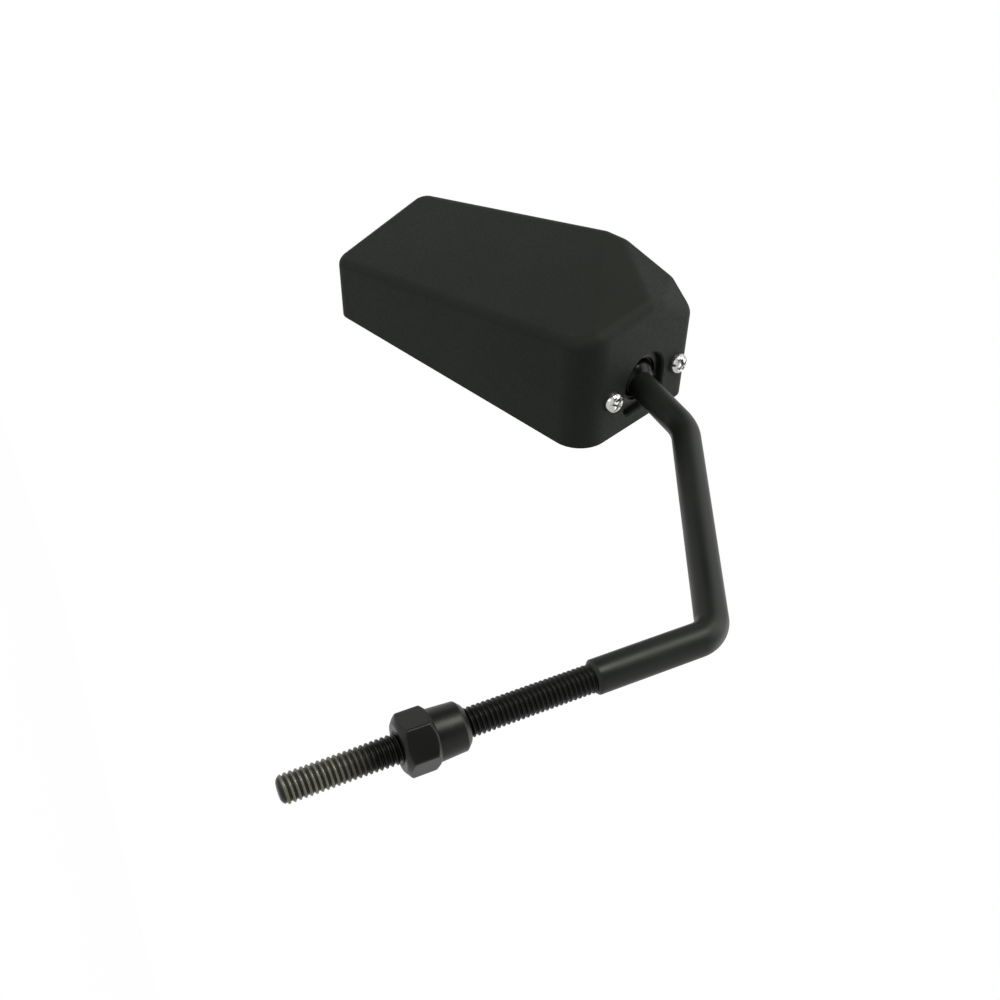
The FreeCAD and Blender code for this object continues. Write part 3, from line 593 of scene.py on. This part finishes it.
def screw_top(radius, angle):
    """Height of the pan head at a place on it, with a tapered cross recess."""
    share = min(radius / SCREW_HEAD_R, 1.0)
    dome = SCREW_HEAD_HIGH * math.sqrt(1 - share ** SCREW_DOME_POWER)
    x = abs(radius * math.cos(angle))
    y = abs(radius * math.sin(angle))
    along = max(x, y)
    inside = (CROSS_HALF_WIDE - min(x, y)) / CROSS_SIDE_SOFT
    before_end = (CROSS_REACH - along) / CROSS_END_SOFT
    arm = max(min(inside, before_end, 1.0), 0.0)
    depth = CROSS_DEEP * (1 - CROSS_TAPER * along / CROSS_REACH)
    return dome - depth * arm


def screw_rows():
    """Rings of one screw from the middle of its head to its point: radius, angle and height."""
    angles = ring_angles(SCREW_AROUND)
    rows = []
    for i in range(SCREW_RINGS + 1):
        radius = SCREW_HEAD_R * i / SCREW_RINGS
        least = SCREW_RIM_HIGH if i == SCREW_RINGS else SCREW_LEAST_HIGH
        rows.append([(radius, angle, max(screw_top(radius, angle), least)) for angle in angles])
    shank = [
        (SCREW_HEAD_R, 0.0),
        (SCREW_R, 0.0),
        (SCREW_R, -SCREW_LEN),
        (CLOSED_R, -SCREW_LEN),
    ]
    for radius, z in shank:
        rows.append([(radius, angle, z) for angle in angles])
    return rows


def make_screws(material):
    """Two pan-head screws with cross recesses, in the head's end wall."""
    turn = head_turn()
    axes = turn @ Matrix(((0, 0, 1), (1, 0, 0), (0, 1, 0)))
    rows = screw_rows()
    points = []
    faces = []
    for side, spin in SCREW_PLACES:
        seat = ball_centre() + turn @ Vector((SCREW_SEAT, side * SCREW_HALF_GAP, 0))
        first = len(points)
        for row in rows:
            for radius, angle, z in row:
                points.append(seat + axes @ polar(radius, angle + spin, z))
        for face in ring_faces(len(rows), SCREW_AROUND):
            faces.append(tuple(first + v for v in face))
    piece = mesh_piece("clamp_screws_dressed", points, faces, material, sharp_angle=40)
    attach(piece, "head")
    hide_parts("clamp_screws")


def dress(name, material):
    """Gives a CAD node its material."""
    slots = NODES[name].data.materials
    slots.clear()
    slots.append(material)


def dress_solids():
    """Materials of the solids that show as they are."""
    shell = moulded_plastic(
        "moulded_black",
        dark=(0.0077, 0.0096, 0.007),
        light=(0.0096, 0.0118, 0.0089),
        roughness=0.66,
        grain=0.00002,
    )
    backing = moulded_plastic(
        "backing_black",
        dark=(0.010, 0.010, 0.010),
        light=(0.014, 0.014, 0.014),
        roughness=0.6,
        grain=0.00003,
    )
    # Cups, ball and clamp plates are near-black partly as their own finish and partly as painted
    # shade for the dark inside of the housing.
    cups = moulded_plastic(
        "cup_black",
        dark=(0.003, 0.003, 0.003),
        light=(0.0045, 0.0045, 0.004),
        roughness=0.5,
        grain=0.00001,
        gloss=0.08,
    )
    ball_dark_with_shade = black_coat(
        "ball_black_with_shade",
        dark=(0.002, 0.002, 0.0018),
        light=(0.003, 0.003, 0.0028),
        roughness=0.25,
        gloss=0.14,
    )
    steel = bright_metal("turned_steel", colour=(0.10, 0.10, 0.098), roughness=0.32)
    # The plates' dark colour is partly painted shade inside the housing.
    pressed = bright_metal(
        "pressed_plate", colour=(0.025, 0.025, 0.024), roughness=0.5, scale=250
    )
    dress("housing", shell)
    dress("glass_backing", backing)
    dress("mirror_glass", mirror_silver("silvered_glass"))
    dress("socket_cups", cups)
    dress("swivel_ball", ball_dark_with_shade)
    for name in ("end_washer", "end_screw", "clamp_nuts"):
        dress(name, steel)
    for name in ("clamp_plate_front", "clamp_plate_rear"):
        dress(name, pressed)


def make_pieces():
    """Pieces that show in place of their solids, with their materials."""
    satin = black_coat(
        "satin_black",
        dark=(0.0052, 0.0063, 0.0046),
        light=(0.0075, 0.0087, 0.0067),
        roughness=0.43,
        gloss=0.24,
    )
    nut_black = black_coat(
        "nut_black",
        dark=(0.0018, 0.0022, 0.0014),
        light=(0.003, 0.0035, 0.0024),
        roughness=0.39,
        gloss=0.27,
    )
    zinc = bright_metal("bright_zinc", colour=(0.52, 0.52, 0.50), roughness=0.15)
    make_rod(satin)
    make_thread(worn_thread("worn_thread"))
    make_lock_nut(nut_black)
    make_screws(zinc)


def make_camera():
    """Camera at the photograph's viewing angle."""
    data = bpy.data.cameras.new("camera")
    data.lens = CAMERA_LENS
    data.sensor_width = CAMERA_SENSOR
    data.clip_start = CAMERA_CLIP
    camera = bpy.data.objects.new("camera", data)
    ahead = Vector(CAMERA_AHEAD).normalized()
    right = Vector(CAMERA_RIGHT)
    right = (right - ahead * right.dot(ahead)).normalized()
    up = right.cross(ahead)
    turn = Matrix((right, up, -ahead)).transposed()
    camera.matrix_world = Matrix.Translation(Vector(CAMERA_SPOT) * MM) @ turn.to_4x4()
    bpy.context.scene.collection.objects.link(camera)
    bpy.context.scene.camera = camera


def seen_rays(tree):
    """1 for camera, glossy and transmission rays, which show the background as it is."""
    path = tree.nodes.new("ShaderNodeLightPath")
    total = path.outputs["Is Camera Ray"]
    for name in ("Is Glossy Ray", "Is Transmission Ray"):
        most = node(tree, "ShaderNodeMath", operation="MAXIMUM")
        tree.links.new(total, most.inputs[0])
        tree.links.new(path.outputs[name], most.inputs[1])
        total = most.outputs["Value"]
    return total


def mix_shaders(tree, share, first, second):
    """Shader node that goes from the first node's shader to the second's with a share."""
    mix = node(tree, "ShaderNodeMixShader")
    tree.links.new(share, mix.inputs["Fac"])
    tree.links.new(first.outputs[0], mix.inputs[1])
    tree.links.new(second.outputs[0], mix.inputs[2])
    return mix


def floor_white():
    """Floor material: matt to the light, nearly white with a faint shadow where it is seen."""
    made = bpy.data.materials.new("floor")
    made.use_nodes = True
    tree = made.node_tree
    tree.nodes.clear()
    matt = node(tree, "ShaderNodeBsdfDiffuse", Color=(FLOOR_GREY, FLOOR_GREY, FLOOR_GREY, 1))
    faint = node(tree, "ShaderNodeBsdfDiffuse", Color=(FLOOR_FAINT, FLOOR_FAINT, FLOOR_FAINT, 1))
    glow = node(tree, "ShaderNodeEmission", Strength=FLOOR_GLOW)
    both = node(tree, "ShaderNodeAddShader")
    tree.links.new(faint.outputs[0], both.inputs[0])
    tree.links.new(glow.outputs[0], both.inputs[1])
    mix = mix_shaders(tree, seen_rays(tree), matt, both)
    out = node(tree, "ShaderNodeOutputMaterial")
    tree.links.new(mix.outputs[0], out.inputs["Surface"])
    return made


def make_floor():
    """Plain pale floor, well below the mirror."""
    corners = [
        (-FLOOR_HALF, -FLOOR_HALF, FLOOR_Z),
        (FLOOR_HALF, -FLOOR_HALF, FLOOR_Z),
        (FLOOR_HALF, FLOOR_HALF, FLOOR_Z),
        (-FLOOR_HALF, FLOOR_HALF, FLOOR_Z),
    ]
    mesh = bpy.data.meshes.new("floor")
    mesh.from_pydata(corners, [], [(0, 1, 2, 3)])
    mesh.materials.append(floor_white())
    floor = bpy.data.objects.new("floor", mesh)
    bpy.context.scene.collection.objects.link(floor)
    floor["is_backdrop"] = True


def make_world():
    """White background, dim in reflections of the room behind the camera; soft light all round."""
    world = bpy.data.worlds.new("studio")
    bpy.context.scene.world = world
    world.use_nodes = True
    tree = world.node_tree
    tree.nodes.clear()
    soft = node(tree, "ShaderNodeBackground", Color=WHITE, Strength=AMBIENT)
    white = node(tree, "ShaderNodeBackground", Color=WHITE, Strength=1.0)
    room = node(tree, "ShaderNodeBackground", Color=WHITE)
    way = tree.nodes.new("ShaderNodeTexCoord").outputs["Generated"]
    apart = node(tree, "ShaderNodeSeparateXYZ")
    tree.links.new(way, apart.inputs["Vector"])
    dimming = spread(tree, apart.outputs["Y"], ROOM_FROM_Y, ROOM_TO_Y, 1.0, ROOM)
    tree.links.new(dimming, room.inputs["Strength"])
    path = tree.nodes.new("ShaderNodeLightPath")
    seen = mix_shaders(tree, path.outputs["Is Camera Ray"], room, white)
    mix = mix_shaders(tree, seen_rays(tree), soft, seen)
    out = node(tree, "ShaderNodeOutputWorld")
    tree.links.new(mix.outputs[0], out.inputs["Surface"])


def make_lamp(name, direction, distance, size, power):
    """Square soft lamp aimed at the middle of the mirror, from a direction in the head's axes."""
    data = bpy.data.lights.new(name, "AREA")
    data.shape = "SQUARE"
    data.size = size
    data.energy = power
    lamp = bpy.data.objects.new(name, data)
    low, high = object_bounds()
    aim = (Vector(low) + Vector(high)) / 2
    away = (head_turn() @ Vector(direction)).normalized()
    lamp.location = aim + away * distance
    lamp.rotation_mode = "QUATERNION"
    lamp.rotation_quaternion = (-away).to_track_quat("-Z", "Y")
    bpy.context.scene.collection.objects.link(lamp)


def make_stage():
    """Camera, floor, background and lamps; lamp powers are in watts."""
    bpy.context.scene.view_settings.view_transform = "Standard"
    make_camera()
    make_floor()
    make_world()
    make_lamp("overhead", (0.32, 0.24, 0.92), distance=0.9, size=0.35, power=5.8)
    make_lamp("back", (0.15, 1.0, 0.75), distance=1.0, size=0.6, power=1.4)
    make_lamp("stem_side", (0.7, 0.8, 0.5), distance=1.0, size=0.6, power=3.3)
    make_lamp("tip_side", (-0.15, -0.68, 0.66), distance=0.45, size=0.25, power=0.3)
    make_lamp("far_side", (-0.85, 0.5, 0.12), distance=1.0, size=0.5, power=0.5)
    make_lamp("table_side", (0.62, 0.7, -0.35), distance=1.0, size=0.8, power=2.5)


def main():
    """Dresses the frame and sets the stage."""
    dress_solids()
    make_pieces()
    make_stage()


main()
